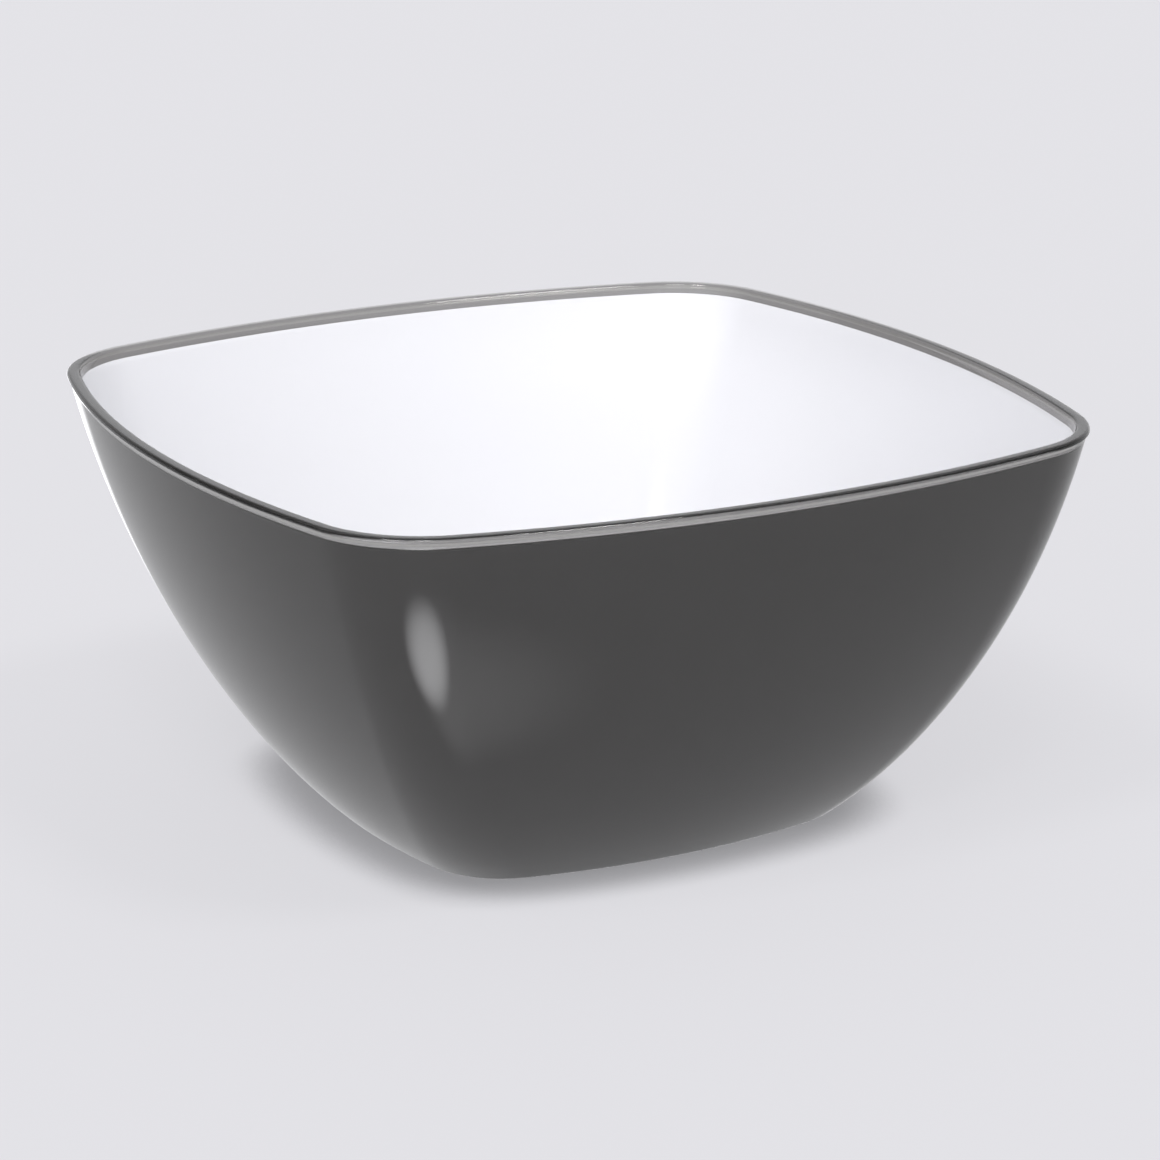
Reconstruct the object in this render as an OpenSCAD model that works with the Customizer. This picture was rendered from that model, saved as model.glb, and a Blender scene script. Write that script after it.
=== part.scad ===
// Rounded-square serving bowl made of two bonded mouldings.
// The outer shell is smoked clear plastic and carries the rim and the foot.
// The inner liner is opaque white plastic and stops a little below the rim.
// The origin is the centre of the foot, on the table; the sides face X and Y, and +Z is up.

/* [Overall size] */
// Width over the rim bead, across the middles of two opposite sides
rim_w = 250; // [230:1:280]
// Height from the table to the top of the rim
bowl_h = 115.5; // [100:0.5:130]
// Width of the foot where the wall would meet the table, across the middles of the sides
foot_w = 134.2; // [120:0.2:150]

/* [Outline] */
// Radius of the gently bowed sides at the rim
rim_side_r = 352; // [250:1:500]
// Radius of the bowed sides at the foot
foot_side_r = 195; // [140:1:260]
// Radius of the rounded corners at the rim
rim_corner_r = 35; // [30:0.5:50]
// Radius of the rounded corners at the foot
foot_corner_r = 25.4; // [20:0.2:32]
// How late the corners open out on the way up: 1 is evenly, more is nearer the rim
corner_growth = 4; // [1:0.5:5]

/* [Wall curve] */
// Slope of the wall as it leaves the foot, in degrees above the table
foot_slope = 41; // [36:1:55]
// Length of the wall curve's pull along that slope
foot_pull = 25.5; // [15:0.5:35]
// Lean of the wall at the rim, in degrees outwards from upright
rim_lean = 12; // [6:0.5:18]
// Length of the wall curve's pull down from the rim along that lean
rim_pull = 58; // [40:1:65]

/* [Walls] */
// Thickness of the shell's wall
shell_t = 2.2; // [1.6:0.1:2.6]
// Thickness of the liner's wall and floor
liner_t = 1.1; // [0.8:0.1:2]
// Thickness of the shell's floor
shell_floor_t = 2; // [1.6:0.1:3]
// Height over which each floor curves up into its wall
floor_rise = 5; // [3:0.5:8]

/* [Rim] */
// Height of the clear band inside the bowl, between the liner's edge and the top of the rim
clear_band_h = 3; // [2.5:0.1:6]
// How much lower the liner's sloping top edge is at the joint than inside the bowl
liner_edge_fall = 0.7; // [0.2:0.1:1.2]
// How far the rim's bead stands out from the wall
bead_out = 0.6; // [0.3:0.1:1]
// Height of the bead
bead_h = 1.4; // [1.3:0.1:2]
// Radius of the rounding under the bead
bead_under_r = 0.25; // [0.1:0.05:0.3]
// Radius of the rim's outer top edge
outer_edge_r = 1; // [0.4:0.1:1]
// Radius of the rim's inner top edge
inner_edge_r = 1.1; // [0.4:0.1:1.3]

/* [Foot] */
// Width of the flat ring that the bowl stands on
foot_ring_w = 3; // [2:0.5:6]
// Height of the recess inside that ring
recess_h = 1.2; // [0.5:0.1:2]
// Height over which the foot's outer edge is rounded
foot_round_h = 1.2; // [0.6:0.2:3]

/* [Smoothness] */
// Facets along each side of the outline
side_steps = 10; // [6:2:12]
// Facets round each corner of the outline
corner_steps = 8; // [6:1:10]
// Facets up the outside of the wall
outer_steps = 14; // [10:1:18]
// Facets up the inside of the wall
inner_steps = 12; // [8:1:16]
// Facets where a floor curves into a wall
blend_steps = 4; // [3:1:5]
// Turn of each facet round a rim edge, in degrees
edge_turn = 22.5; // [22.5, 30, 45]

/* [Hidden] */

foot_half = foot_w / 2;
wall_half = rim_w / 2 - bead_out;
wall_top = bowl_h - bead_h;
liner_top = bowl_h - clear_band_h;
shell_floor = recess_h + shell_floor_t;
liner_floor = shell_floor + liner_t;
both_t = shell_t + liner_t;

// The outside of the wall, as half-width and height: a cubic curve from the foot to under the bead
wall_foot = [foot_half, 0];
wall_rim = [wall_half, wall_top];
foot_handle = wall_foot + foot_pull * [cos(foot_slope), sin(foot_slope)];
rim_handle = wall_rim - rim_pull * [sin(rim_lean), cos(rim_lean)];

function blend(a, b, s) = a + (b - a) * s;

function wall_point(s) =
    pow(1 - s, 3) * wall_foot
    + 3 * pow(1 - s, 2) * s * foot_handle
    + 3 * (1 - s) * pow(s, 2) * rim_handle
    + pow(s, 3) * wall_rim;

function wall_direction(s) =
    let (along = pow(1 - s, 2) * (foot_handle - wall_foot)
        + 2 * (1 - s) * s * (rim_handle - foot_handle)
        + pow(s, 2) * (wall_rim - rim_handle))
    along / norm(along);

// The outline's radii grow from the foot to the rim with the half-width w
function growth(w) = (w - foot_half) / (wall_half - foot_half);
function side_radius(w) = blend(foot_side_r, rim_side_r, growth(w));
function corner_radius(w) = blend(foot_corner_r, rim_corner_r, pow(growth(w), corner_growth));

// A level is one outline of the skin: [half-width, height, side radius, corner radius]
function inset(level, d, z) = [level[0] - d, z, level[2] - d, level[3] - d];

// The level a fraction s up the wall, on the surface that lies depth inside the outer one
function wall_level(s, depth) =
    let (
        p = wall_point(s),
        direction = wall_direction(s),
        inward = depth * direction[1]
    )
    [
        p[0] - inward,
        p[1] + depth * direction[0],
        side_radius(p[0]) - inward,
        corner_radius(p[0]) - inward
    ];

// The fraction up the wall at which that surface is at height z, found by halving
function fraction_at(z, depth, low = 0, high = 1, halvings = 30) =
    let (middle = (low + high) / 2)
    halvings == 0 ? middle
    : wall_level(middle, depth)[1] < z
        ? fraction_at(z, depth, middle, high, halvings - 1)
        : fraction_at(z, depth, low, middle, halvings - 1);

// Levels that curve from a flat at height z into the wall, which they meet a rise higher
function floor_levels(z, rise, depth) =
    let (
        s = fraction_at(z + rise, depth),
        met = wall_level(s, depth),
        direction = wall_direction(s),
        leg = rise / direction[1],
        to_corner = leg * direction[0]
    )
    [for (i = [0 : blend_steps - 1])
        let (t = i / blend_steps)
        inset(met, pow(1 - t, 2) * leg + (1 - pow(t, 2)) * to_corner, z + pow(t, 2) * rise)];

// Levels of one surface, from its flat at height z up to the height top
function surface_levels(z, rise, depth, top, steps) =
    let (
        low = fraction_at(z + rise, depth),
        high = fraction_at(top, depth)
    )
    concat(
        floor_levels(z, rise, depth),
        [for (i = [0 : steps]) wall_level(blend(low, high, i / steps), depth)]
    );

function reversed(list) = [for (i = [len(list) - 1 : -1 : 0]) list[i]];

outer_levels = surface_levels(0, foot_round_h, 0, wall_top, outer_steps);
joint_levels = surface_levels(shell_floor, floor_rise, shell_t, liner_top - liner_edge_fall, inner_steps);
inside_levels = surface_levels(liner_floor, floor_rise, both_t, liner_top, inner_steps);

foot_levels = [
    inset(outer_levels[0], foot_ring_w + recess_h, recess_h),
    inset(outer_levels[0], foot_ring_w, 0)
];

// The rim: out under the bead, round its edge, across the flat top and over the inner edge
bead_level = inset(wall_level(1, 0), -bead_out, wall_top);
mouth_level = wall_level(1, both_t);
function edge_level(level, r, a) = inset(level, r * (1 - cos(a)), bowl_h - abs(r) * (1 - sin(a)));
rim_levels = concat(
    [inset(bead_level, bead_under_r, wall_top), inset(bead_level, 0, wall_top + bead_under_r)],
    [for (a = [0 : edge_turn : 90]) edge_level(bead_level, outer_edge_r, a)],
    [for (a = [90 : -edge_turn : 0]) edge_level(mouth_level, -inner_edge_r, a)]
);

// A quarter of an outline: one bowed side, then the corner that follows it, tangent to each other
function quarter_points(level) =
    let (
        side_r = level[2],
        corner_r = level[3],
        side_back = side_r - level[0],
        corner_at = (sqrt(2 * pow(side_r - corner_r, 2) - pow(side_back, 2)) - side_back) / 2,
        side_end = atan2(corner_at, corner_at + side_back)
    )
    concat(
        [for (i = [0 : side_steps - 1])
            let (a = blend(-side_end, side_end, i / side_steps))
            [side_r * cos(a) - side_back, side_r * sin(a)]],
        [for (i = [0 : corner_steps - 1])
            let (a = blend(side_end, 90 - side_end, i / corner_steps))
            [corner_at + corner_r * cos(a), corner_at + corner_r * sin(a)]]
    );

function ring_points(level) =
    [for (turn = [0 : 90 : 270], p = quarter_points(level))
        [p[0] * cos(turn) - p[1] * sin(turn), p[0] * sin(turn) + p[1] * cos(turn), level[1]]];

// A closed skin over a chain of levels, with a flat face inside its first and its last ring
module skin(levels) {
    around = 4 * (side_steps + corner_steps);
    last = len(levels) - 1;
    polyhedron(
        points = [for (level = levels, p = ring_points(level)) p],
        faces = concat(
            [[for (i = [0 : around - 1]) i]],
            [for (k = [0 : last - 1], i = [0 : around - 1])
                let (j = (i + 1) % around)
                [k * around + i, (k + 1) * around + i, (k + 1) * around + j]],
            [for (k = [0 : last - 1], i = [0 : around - 1])
                let (j = (i + 1) % around)
                [k * around + i, (k + 1) * around + j, k * around + j]],
            [[for (i = [around - 1 : -1 : 0]) last * around + i]]
        )
    );
}

// Smoked clear shell: recessed underside, foot ring, outer wall, bead, rim and the seat for the liner
module outer_shell() {
    color([0.27, 0.25, 0.25, 0.6])
        skin(concat(
            foot_levels,
            outer_levels,
            rim_levels,
            [inside_levels[len(inside_levels) - 1]],
            reversed(joint_levels)
        ));
}

// White liner: fills the seat, so its outer face lies on the shell and its inner face is the bowl's inside
module inner_liner() {
    color([0.93, 0.93, 0.95])
        skin(concat(joint_levels, reversed(inside_levels)));
}

outer_shell();
inner_liner();
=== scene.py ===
import math

import bpy
import numpy as np
from mathutils import Matrix, Vector


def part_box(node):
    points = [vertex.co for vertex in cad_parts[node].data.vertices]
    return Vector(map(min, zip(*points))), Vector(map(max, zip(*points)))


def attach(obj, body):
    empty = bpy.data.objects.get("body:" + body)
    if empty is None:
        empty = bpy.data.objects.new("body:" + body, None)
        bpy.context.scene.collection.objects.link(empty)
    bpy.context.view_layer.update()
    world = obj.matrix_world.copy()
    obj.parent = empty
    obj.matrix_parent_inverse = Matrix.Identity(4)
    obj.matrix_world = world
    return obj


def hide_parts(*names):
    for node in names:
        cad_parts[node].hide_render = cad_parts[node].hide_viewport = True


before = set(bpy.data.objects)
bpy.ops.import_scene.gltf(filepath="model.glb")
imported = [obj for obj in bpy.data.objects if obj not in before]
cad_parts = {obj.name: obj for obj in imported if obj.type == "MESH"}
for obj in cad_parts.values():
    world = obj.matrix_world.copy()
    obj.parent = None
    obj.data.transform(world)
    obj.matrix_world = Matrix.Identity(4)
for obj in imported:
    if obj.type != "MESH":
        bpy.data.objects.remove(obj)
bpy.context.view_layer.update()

# ---------------------------------------------------------------- sizes, in metres
MM = 0.001

shell_low, shell_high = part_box("outer_shell")
liner_low, liner_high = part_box("inner_liner")

BOWL_HEIGHT = shell_high.z
RIM_HALF = shell_high.x
LINER_TOP = liner_high.z
SHELL_FLOOR = liner_low.z

# The design's own values, as the CAD has them
BEAD_OUT = 0.6 * MM
BEAD_HEIGHT = 1.4 * MM
BEAD_UNDER_RADIUS = 0.25 * MM
OUTER_EDGE_RADIUS = 1 * MM
INNER_EDGE_RADIUS = 1.1 * MM
SHELL_WALL = 2.2 * MM
LINER_WALL = 1.1 * MM
FLOOR_RISE = 5 * MM
FOOT_HALF = 67.1 * MM
FOOT_ROUND = 1.2 * MM
FOOT_RING = 3 * MM
RECESS = 1.2 * MM
LINER_EDGE_FALL = 0.7 * MM
RIM_SIDE_RADIUS = 352 * MM
FOOT_SIDE_RADIUS = 195 * MM
RIM_CORNER_RADIUS = 35 * MM
FOOT_CORNER_RADIUS = 25.4 * MM
CORNER_GROWTH = 4
FOOT_SLOPE = math.radians(41)
FOOT_PULL = 25.5 * MM
RIM_LEAN = math.radians(12)
RIM_PULL = 58 * MM

BOTH_WALLS = SHELL_WALL + LINER_WALL
WALL_HALF = RIM_HALF - BEAD_OUT
WALL_TOP = BOWL_HEIGHT - BEAD_HEIGHT
LINER_FLOOR = SHELL_FLOOR + LINER_WALL
JOINT_TOP = LINER_TOP - LINER_EDGE_FALL

# The liner's outer face sinks this far into the shell, so that no air lies between the two plastics
BOND = 0.03 * MM

# Facets of the visual meshes
SIDE_STEPS = 40
CORNER_STEPS = 32
WALL_STEPS = 90
BLEND_STEPS = 14
EDGE_STEPS = 7

# Rings that carry each flat on towards the middle, as shares of its edge
FLAT_SHARES = (0.997, 0.98, 0.9, 0.75, 0.55, 0.35, 0.15)

# Rings across the narrow step under the bead, as shares of how far the bead stands out
STEP_SHARES = (0.97, 0.7)

# A ring this share of the way down the clear band keeps the shading crisp at the liner's edge
SEAT_SHARE = 0.9

# How often fraction_at halves its interval
HALVINGS = 40

# ---------------------------------------------------------------- the wall's curve
wall_foot = np.array([FOOT_HALF, 0.0])
wall_rim = np.array([WALL_HALF, WALL_TOP])
foot_handle = wall_foot + FOOT_PULL * np.array([math.cos(FOOT_SLOPE), math.sin(FOOT_SLOPE)])
rim_handle = wall_rim - RIM_PULL * np.array([math.sin(RIM_LEAN), math.cos(RIM_LEAN)])


def blend(a, b, s):
    return a + (b - a) * s


def wall_point(s):
    return (
        (1 - s) ** 3 * wall_foot
        + 3 * (1 - s) ** 2 * s * foot_handle
        + 3 * (1 - s) * s ** 2 * rim_handle
        + s ** 3 * wall_rim
    )


def wall_direction(s):
    along = (
        (1 - s) ** 2 * (foot_handle - wall_foot)
        + 2 * (1 - s) * s * (rim_handle - foot_handle)
        + s ** 2 * (wall_rim - rim_handle)
    )
    return along / np.linalg.norm(along)


# A level is one outline of a skin: (half-width, height, side radius, corner radius)
def inset(level, distance, height):
    half, _, side, corner = level
    return (half - distance, height, side - distance, corner - distance)


def wall_level(s, depth):
    """The level a fraction s up the wall, on the surface that lies depth inside the outer one."""
    point = wall_point(s)
    direction = wall_direction(s)
    inward = depth * direction[1]
    growth = (point[0] - FOOT_HALF) / (WALL_HALF - FOOT_HALF)
    return (
        point[0] - inward,
        point[1] + depth * direction[0],
        blend(FOOT_SIDE_RADIUS, RIM_SIDE_RADIUS, growth) - inward,
        blend(FOOT_CORNER_RADIUS, RIM_CORNER_RADIUS, max(growth, 0) ** CORNER_GROWTH) - inward,
    )


def fraction_at(height, depth):
    """The fraction up the wall at which that surface is at this height, found by halving."""
    low, high = 0.0, 1.0
    for _ in range(HALVINGS):
        middle = (low + high) / 2
        if wall_level(middle, depth)[1] < height:
            low = middle
        else:
            high = middle
    return (low + high) / 2


def surface_levels(height, rise, depth, top):
    """Levels of one surface, from the edge of its flat at this height up to the height top."""
    start = fraction_at(height + rise, depth)
    end = fraction_at(top, depth)
    met = wall_level(start, depth)
    direction = wall_direction(start)
    leg = rise / direction[1]
    to_corner = leg * direction[0]
    levels = []
    for i in range(BLEND_STEPS):
        t = i / BLEND_STEPS
        distance = (1 - t) ** 2 * leg + (1 - t ** 2) * to_corner
        levels.append(inset(met, distance, height + t ** 2 * rise))
    for i in range(WALL_STEPS + 1):
        levels.append(wall_level(blend(start, end, i / WALL_STEPS), depth))
    return levels


# ---------------------------------------------------------------- skins
def outline(level):
    """The points of a level, counter-clockwise: bowed sides and round corners that meet smoothly."""
    half, height, side, corner = level
    side_back = side - half
    corner_at = (math.sqrt(2 * (side - corner) ** 2 - side_back ** 2) - side_back) / 2
    side_end = math.atan2(corner_at, corner_at + side_back)
    quarter = []
    for i in range(SIDE_STEPS):
        a = blend(-side_end, side_end, i / SIDE_STEPS)
        quarter.append((side * math.cos(a) - side_back, side * math.sin(a)))
    for i in range(CORNER_STEPS):
        a = blend(side_end, math.pi / 2 - side_end, i / CORNER_STEPS)
        quarter.append((corner_at + corner * math.cos(a), corner_at + corner * math.sin(a)))
    points = []
    for turn in range(4):
        c, s = math.cos(turn * math.pi / 2), math.sin(turn * math.pi / 2)
        points += [(x * c - y * s, x * s + y * c, height) for x, y in quarter]
    return np.array(points)


def flat_rings(ring):
    """Rings that carry a flat on from its edge ring towards the middle."""
    return [ring * np.array([share, share, 1]) for share in FLAT_SHARES]


def skin(name, rings):
    """A closed smooth mesh over a chain of rings, with a small flat face inside its first and its last."""
    around = len(rings[0])
    points = np.vstack(rings)
    faces = [tuple(range(around - 1, -1, -1))]
    for k in range(len(rings) - 1):
        for i in range(around):
            j = (i + 1) % around
            faces.append((k * around + i, k * around + j, (k + 1) * around + j, (k + 1) * around + i))
    last = (len(rings) - 1) * around
    faces.append(tuple(last + i for i in range(around)))
    mesh = bpy.data.meshes.new(name)
    mesh.from_pydata(points.tolist(), [], faces)
    mesh.polygons.foreach_set("use_smooth", [True] * len(faces))
    mesh.update()
    piece = bpy.data.objects.new(name, mesh)
    bpy.context.scene.collection.objects.link(piece)
    return piece


def quarter_turns(first, last):
    """Angles from first to last round a small edge."""
    return [blend(first, last, i / EDGE_STEPS) for i in range(EDGE_STEPS + 1)]


def edge_level(level, r, a):
    """A level round one of the rim's top edges. A positive r curves inwards and a negative one outwards."""
    return inset(level, r * (1 - math.cos(a)), BOWL_HEIGHT - abs(r) * (1 - math.sin(a)))


def blend_levels(a, b, share):
    return tuple(blend(x, y, share) for x, y in zip(a, b))


def make_shell():
    """The smoked shell: recessed underside, foot ring, outer wall, bead, rim and the seat for the liner."""
    outer = surface_levels(0, FOOT_ROUND, 0, WALL_TOP)
    joint = surface_levels(SHELL_FLOOR, FLOOR_RISE, SHELL_WALL, JOINT_TOP)
    seat_inner = wall_level(fraction_at(LINER_TOP, BOTH_WALLS), BOTH_WALLS)
    bead = inset(wall_level(1, 0), -BEAD_OUT, WALL_TOP)
    mouth = wall_level(1, BOTH_WALLS)
    levels = [inset(outer[0], FOOT_RING + RECESS, RECESS), inset(outer[0], FOOT_RING, 0)]
    levels += outer
    levels += [inset(bead, BEAD_OUT * share, WALL_TOP) for share in STEP_SHARES]
    for a in quarter_turns(-math.pi / 2, 0):
        r = BEAD_UNDER_RADIUS
        levels.append(inset(bead, r * (1 - math.cos(a)), WALL_TOP + r * (1 + math.sin(a))))
    for a in quarter_turns(0, math.pi / 2):
        levels.append(edge_level(bead, OUTER_EDGE_RADIUS, a))
    for a in quarter_turns(math.pi / 2, 0):
        levels.append(edge_level(mouth, -INNER_EDGE_RADIUS, a))
    levels.append(blend_levels(levels[-1], seat_inner, SEAT_SHARE))
    levels.append(seat_inner)
    levels += joint[::-1]
    rings = [outline(level) for level in levels]
    under = flat_rings(rings[0])[::-1]
    inside = flat_rings(rings[-1])
    return skin("smoked_shell", under + rings + inside)


def make_liner():
    """The white liner. Its faces from the underside up to the joint's top carry the second material."""
    joint = surface_levels(SHELL_FLOOR - BOND, FLOOR_RISE, SHELL_WALL - BOND, JOINT_TOP)
    inside = surface_levels(LINER_FLOOR, FLOOR_RISE, BOTH_WALLS, LINER_TOP)
    edge_outer = inset(joint[-1], 0, JOINT_TOP + BOND)
    edge_inner = inset(inside[-1], -BOND, LINER_TOP + BOND)
    levels = joint + [edge_outer, edge_inner] + inside[::-1]
    rings = [outline(level) for level in levels]
    under = flat_rings(rings[0])[::-1]
    top = flat_rings(rings[-1])
    piece = skin("white_liner", under + rings + top)
    bonded_faces = 1 + (len(under) + len(joint) + 1) * len(rings[0])
    for face in piece.data.polygons[:bonded_faces]:
        face.material_index = 1
    return piece


# ---------------------------------------------------------------- materials
SMOKED_IOR = 1.53
SMOKE_COLOUR = (0.25, 0.235, 0.215, 1)
SMOKE_DENSITY = 400
WHITE_COLOUR = (0.785, 0.785, 0.81, 1)
WHITE_IOR = 1.5
BONDED_COLOUR = (0.43, 0.43, 0.44, 1)
BONDED_ROUGHNESS = 0.9

# Waviness of the mouldings: noise scale, strength and height
SHELL_WAVES = (14, 0.25, 0.12 * MM)
LINER_WAVES = (20, 0.2, 0.1 * MM)
WAVE_DETAIL = 1
WAVE_SPREAD = 0.4

# Roughness where each moulding is polished and where it is worn
SHELL_POLISH = (0.03, 0.06)
LINER_POLISH = (0.14, 0.2)

# Handling marks: noise scale, detail and spread, and the noise levels between which the wear comes in
WEAR_SCALE = 45
WEAR_DETAIL = 6
WEAR_SPREAD = 0.65
WEAR_STARTS = 0.35
WEAR_FULL = 0.7

FLOOR_COLOUR = (0.15, 0.149, 0.155, 1)
FLOOR_ROUGHNESS = 0.8
FLOOR_GLOW_COLOUR = (0.965, 0.96, 1.0, 1)
FLOOR_GLOW = 0.615

# A painted contact shadow: the floor's glow fades where the bowl covers it within this reach, down to this
# share of the glow
PAINTED_SHADOW_REACH = 26 * MM
PAINTED_SHADOW_GLOW_SHARE = 0.45

# How open the floor is where the painted shadow's fade ends and where it begins: 0 is covered and 1 is open
COVERED = 0.2
OPEN = 0.6


def new_material(name):
    material = bpy.data.materials.new(name)
    material.use_nodes = True
    nodes = material.node_tree.nodes
    return material, nodes, material.node_tree.links, nodes["Principled BSDF"]


def add_noise(nodes, links, scale, detail, spread):
    """A noise that stays with the piece. Returns its value."""
    place = nodes.new("ShaderNodeTexCoord")
    noise = nodes.new("ShaderNodeTexNoise")
    noise.inputs["Scale"].default_value = scale
    noise.inputs["Detail"].default_value = detail
    noise.inputs["Roughness"].default_value = spread
    links.new(place.outputs["Object"], noise.inputs["Vector"])
    return noise.outputs["Fac"]


def add_waves(nodes, links, surface, scale, strength, height):
    """The slow waviness that moulding leaves in a flat-looking plastic surface."""
    bump = nodes.new("ShaderNodeBump")
    bump.inputs["Strength"].default_value = strength
    bump.inputs["Distance"].default_value = height
    links.new(add_noise(nodes, links, scale, WAVE_DETAIL, WAVE_SPREAD), bump.inputs["Height"])
    links.new(bump.outputs["Normal"], surface.inputs["Normal"])


def add_wear(nodes, links, surface, polished, worn):
    """Fine handling marks: patches a little less polished than the rest."""
    wear = nodes.new("ShaderNodeMapRange")
    wear.inputs["From Min"].default_value = WEAR_STARTS
    wear.inputs["From Max"].default_value = WEAR_FULL
    wear.inputs["To Min"].default_value = polished
    wear.inputs["To Max"].default_value = worn
    links.new(add_noise(nodes, links, WEAR_SCALE, WEAR_DETAIL, WEAR_SPREAD), wear.inputs["Value"])
    links.new(wear.outputs["Result"], surface.inputs["Roughness"])


def smoked_plastic():
    """Clear plastic that absorbs light on its way through, so thick or backed parts look darker."""
    material, nodes, links, surface = new_material("smoked_clear_plastic")
    surface.inputs["Base Color"].default_value = (1, 1, 1, 1)
    surface.inputs["IOR"].default_value = SMOKED_IOR
    surface.inputs["Transmission Weight"].default_value = 1
    add_waves(nodes, links, surface, *SHELL_WAVES)
    add_wear(nodes, links, surface, *SHELL_POLISH)
    smoke = nodes.new("ShaderNodeVolumeAbsorption")
    smoke.inputs["Color"].default_value = SMOKE_COLOUR
    smoke.inputs["Density"].default_value = SMOKE_DENSITY
    links.new(smoke.outputs["Volume"], nodes["Material Output"].inputs["Volume"])
    return material


def white_plastic():
    """The glossy white of the bowl's inside."""
    material, nodes, links, surface = new_material("glossy_white_plastic")
    surface.inputs["Base Color"].default_value = WHITE_COLOUR
    surface.inputs["IOR"].default_value = WHITE_IOR
    add_waves(nodes, links, surface, *LINER_WAVES)
    add_wear(nodes, links, surface, *LINER_POLISH)
    return material


def bonded_plastic():
    """The liner's outer face, which the shell is moulded onto: greyer, and without a gloss of its own."""
    material, _, _, surface = new_material("bonded_white_plastic")
    surface.inputs["Base Color"].default_value = BONDED_COLOUR
    surface.inputs["Roughness"].default_value = BONDED_ROUGHNESS
    surface.inputs["Specular IOR Level"].default_value = 0.0
    return material


def pale_floor():
    """A pale floor, evenly lit by its own soft glow, with a painted contact shadow: the glow fades where
    the bowl stands close over it.
    """
    material, nodes, links, surface = new_material("pale_floor")
    surface.inputs["Base Color"].default_value = FLOOR_COLOUR
    surface.inputs["Roughness"].default_value = FLOOR_ROUGHNESS
    surface.inputs["Specular IOR Level"].default_value = 0.0
    surface.inputs["Emission Color"].default_value = FLOOR_GLOW_COLOUR
    # Painted contact shadow: the glow is dimmed by how much of the floor nearby the bowl covers
    painted_shadow_cover = nodes.new("ShaderNodeAmbientOcclusion")
    painted_shadow_cover.inputs["Distance"].default_value = PAINTED_SHADOW_REACH
    fade = nodes.new("ShaderNodeMapRange")
    fade.interpolation_type = "SMOOTHSTEP"
    fade.inputs["From Min"].default_value = COVERED
    fade.inputs["From Max"].default_value = OPEN
    fade.inputs["To Min"].default_value = FLOOR_GLOW * PAINTED_SHADOW_GLOW_SHARE
    fade.inputs["To Max"].default_value = FLOOR_GLOW
    links.new(painted_shadow_cover.outputs["AO"], fade.inputs["Value"])
    links.new(fade.outputs["Result"], surface.inputs["Emission Strength"])
    return material


# ---------------------------------------------------------------- pieces
shell = make_shell()
shell.data.materials.append(smoked_plastic())
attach(shell, "root")
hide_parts("outer_shell")

liner = make_liner()
liner.data.materials.append(white_plastic())
liner.data.materials.append(bonded_plastic())
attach(liner, "root")
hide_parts("inner_liner")

# ---------------------------------------------------------------- floor, light and camera
# Half the side of the square floor, in metres
FLOOR_HALF = 12.0

# A plain backdrop beyond the floor
BACKDROP_COLOUR = (0.77, 0.765, 0.8, 1)

SKY_COLOUR = (0.98, 0.98, 1.0, 1)

# Brightness of the surroundings: what the plastic reflects from below, the horizon, and overhead
LOW_LIGHT = 0.66
HORIZON_LIGHT = 0.3
OVERHEAD_LIGHT = 0.66

# In degrees: how high the horizon's light reaches, where the overhead light is full, and how far either
# side of the horizon the change to the light from below spreads
HORIZON_TOP = 10
OVERHEAD_FROM = 55
HORIZON_SPREAD = 2

# Soft panels that the plastic reflects: azimuth, elevation, half-width and half-height in degrees, and
# brightness. The last one is dark, and takes light away.
REFLECTED_PANELS = [
    (-38, -60, 11.5, 7.5, 4.0),
    (-15, -64, 16, 11, 0.6),
    (163, -13, 9, 4.5, 1.8),
    (148, 12, 45, 18, 0.65),
    (-68, -9, 30, 10, 5),
    (-40, 18, 60, 10, 2.2),
    (-160, 22, 28, 18, -0.2),
]

# Where a panel has faded out: the sum of the squares of the distances, each as a share of its half-size
PANEL_END = 2

# The key lights stand in a wide arc in front: azimuth and elevation in degrees, and strength
KEY_LIGHTS = [(-66, 58, 0.7), (-34, 58, 0.35), (-28, 50, 0.25), (26, 57, 0.7)]

# How wide each of them spreads, in degrees
KEY_SPREAD = 14

# The camera: lens and sensor in millimetres, angles in degrees, and its distance from the middle of the
# bowl along its view, to the right and up, in metres
LENS = 113.96
SENSOR_WIDTH = 36
CAMERA_AZIMUTH = -27.536
CAMERA_ELEVATION = 17.249
CAMERA_ROLL = -0.292
CAMERA_DISTANCE = 1.0429
CAMERA_RIGHT = 0.00465
CAMERA_UP = 0.00288


def make_floor():
    mesh = bpy.data.meshes.new("floor")
    corners = [(-FLOOR_HALF, -FLOOR_HALF, 0), (FLOOR_HALF, -FLOOR_HALF, 0)]
    corners += [(FLOOR_HALF, FLOOR_HALF, 0), (-FLOOR_HALF, FLOOR_HALF, 0)]
    mesh.from_pydata(corners, [], [(0, 1, 2, 3)])
    floor = bpy.data.objects.new("floor", mesh)
    bpy.context.scene.collection.objects.link(floor)
    mesh.materials.append(pale_floor())
    floor.visible_glossy = False


def direction(azimuth, elevation):
    """The unit vector towards an azimuth and elevation in degrees. Azimuth 0 is -Y and 90 is +X."""
    a, e = math.radians(azimuth), math.radians(elevation)
    return Vector((math.sin(a) * math.cos(e), -math.cos(a) * math.cos(e), math.sin(e)))


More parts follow.
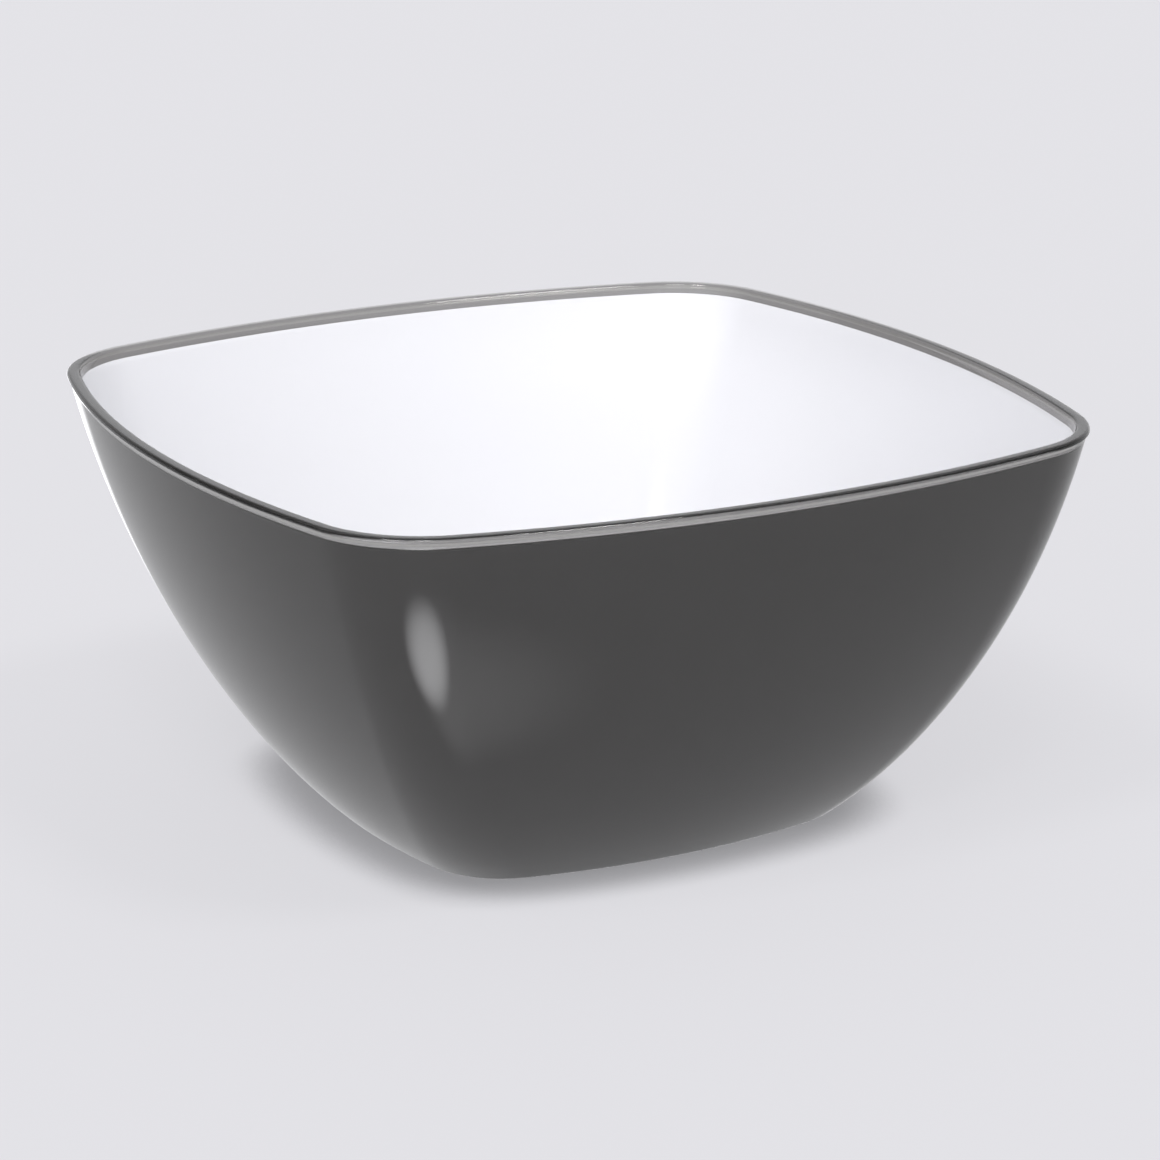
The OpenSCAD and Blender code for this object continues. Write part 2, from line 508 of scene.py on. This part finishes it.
def make_world():
    """Soft studio surroundings for light and reflections, with a plain backdrop for the camera."""
    world = bpy.data.worlds.new("studio")
    world.use_nodes = True
    bpy.context.scene.world = world
    nodes, links = world.node_tree.nodes, world.node_tree.links
    place = nodes.new("ShaderNodeTexCoord")
    parts = nodes.new("ShaderNodeSeparateXYZ")
    links.new(place.outputs["Generated"], parts.inputs["Vector"])
    ramp = nodes.new("ShaderNodeMapRange")
    ramp.interpolation_type = "SMOOTHSTEP"
    ramp.inputs["From Min"].default_value = math.sin(math.radians(HORIZON_TOP))
    ramp.inputs["From Max"].default_value = math.sin(math.radians(OVERHEAD_FROM))
    ramp.inputs["To Min"].default_value = HORIZON_LIGHT
    ramp.inputs["To Max"].default_value = OVERHEAD_LIGHT
    links.new(parts.outputs["Z"], ramp.inputs["Value"])
    below = nodes.new("ShaderNodeMapRange")
    below.inputs["From Min"].default_value = -math.sin(math.radians(HORIZON_SPREAD))
    below.inputs["From Max"].default_value = math.sin(math.radians(HORIZON_SPREAD))
    below.inputs["To Min"].default_value = LOW_LIGHT - HORIZON_LIGHT
    below.inputs["To Max"].default_value = 0
    links.new(parts.outputs["Z"], below.inputs["Value"])
    both = nodes.new("ShaderNodeMath")
    links.new(ramp.outputs["Result"], both.inputs[0])
    links.new(below.outputs["Result"], both.inputs[1])
    total = both.outputs[0]
    for panel in REFLECTED_PANELS:
        total = add_panel(nodes, links, place, total, *panel)
    sky = nodes["Background"]
    sky.inputs["Color"].default_value = SKY_COLOUR
    links.new(total, sky.inputs["Strength"])
    backdrop = nodes.new("ShaderNodeBackground")
    backdrop.inputs["Color"].default_value = BACKDROP_COLOUR
    path = nodes.new("ShaderNodeLightPath")
    seen = nodes.new("ShaderNodeMixShader")
    links.new(path.outputs["Is Camera Ray"], seen.inputs["Fac"])
    links.new(sky.outputs["Background"], seen.inputs[1])
    links.new(backdrop.outputs["Background"], seen.inputs[2])
    links.new(seen.outputs["Shader"], nodes["World Output"].inputs["Surface"])


def add_panel(nodes, links, place, total, azimuth, elevation, wide, tall, strength):
    """Adds a soft elliptical panel round one direction to the total brightness, and returns the sum."""
    towards = direction(azimuth, elevation)
    across = Vector((0, 0, 1)).cross(towards).normalized()
    along = towards.cross(across)
    squares = []
    for axis, half in ((across, wide), (along, tall)):
        dot = nodes.new("ShaderNodeVectorMath")
        dot.operation = "DOT_PRODUCT"
        dot.inputs[1].default_value = axis / math.sin(math.radians(half))
        links.new(place.outputs["Generated"], dot.inputs[0])
        square = nodes.new("ShaderNodeMath")
        square.operation = "POWER"
        square.inputs[1].default_value = 2
        links.new(dot.outputs["Value"], square.inputs[0])
        squares.append(square.outputs[0])
    far = nodes.new("ShaderNodeMath")
    links.new(squares[0], far.inputs[0])
    links.new(squares[1], far.inputs[1])
    fade = nodes.new("ShaderNodeMapRange")
    fade.interpolation_type = "SMOOTHSTEP"
    fade.inputs["From Min"].default_value = PANEL_END
    fade.inputs["From Max"].default_value = 0.0
    fade.inputs["To Max"].default_value = strength
    links.new(far.outputs[0], fade.inputs["Value"])
    facing = nodes.new("ShaderNodeVectorMath")
    facing.operation = "DOT_PRODUCT"
    facing.inputs[1].default_value = towards
    links.new(place.outputs["Generated"], facing.inputs[0])
    front = nodes.new("ShaderNodeMath")
    front.operation = "GREATER_THAN"
    front.inputs[1].default_value = 0
    links.new(facing.outputs["Value"], front.inputs[0])
    only = nodes.new("ShaderNodeMath")
    only.operation = "MULTIPLY_ADD"
    links.new(fade.outputs["Result"], only.inputs[0])
    links.new(front.outputs[0], only.inputs[1])
    links.new(total, only.inputs[2])
    return only.outputs[0]


def make_key_light(azimuth, elevation, strength):
    """A soft light from above, as even over the floor as a distant softbox."""
    data = bpy.data.lights.new("key", "SUN")
    data.angle = math.radians(KEY_SPREAD)
    data.energy = strength
    light = bpy.data.objects.new("key", data)
    bpy.context.scene.collection.objects.link(light)
    light.rotation_euler = direction(azimuth, elevation).to_track_quat("Z", "Y").to_euler()


def make_camera():
    """A long lens that looks a little down at the bowl, from in front and to the left of it."""
    data = bpy.data.cameras.new("camera")
    data.lens = LENS
    data.sensor_width = SENSOR_WIDTH
    camera = bpy.data.objects.new("camera", data)
    bpy.context.scene.collection.objects.link(camera)
    back = direction(CAMERA_AZIMUTH, CAMERA_ELEVATION)
    level_right = Vector((0, 0, 1)).cross(back).normalized()
    level_up = back.cross(level_right)
    roll = math.radians(CAMERA_ROLL)
    right = math.cos(roll) * level_right + math.sin(roll) * level_up
    up = math.cos(roll) * level_up - math.sin(roll) * level_right
    middle = Vector((0, 0, BOWL_HEIGHT / 2))
    place = middle + CAMERA_DISTANCE * back + CAMERA_RIGHT * right + CAMERA_UP * up
    turn = Matrix((right, up, back)).transposed().to_4x4()
    camera.matrix_world = Matrix.Translation(place) @ turn
    bpy.context.scene.camera = camera


make_floor()
make_world()
for key_light in KEY_LIGHTS:
    make_key_light(*key_light)
make_camera()
bpy.context.scene.view_settings.view_transform = "Standard"
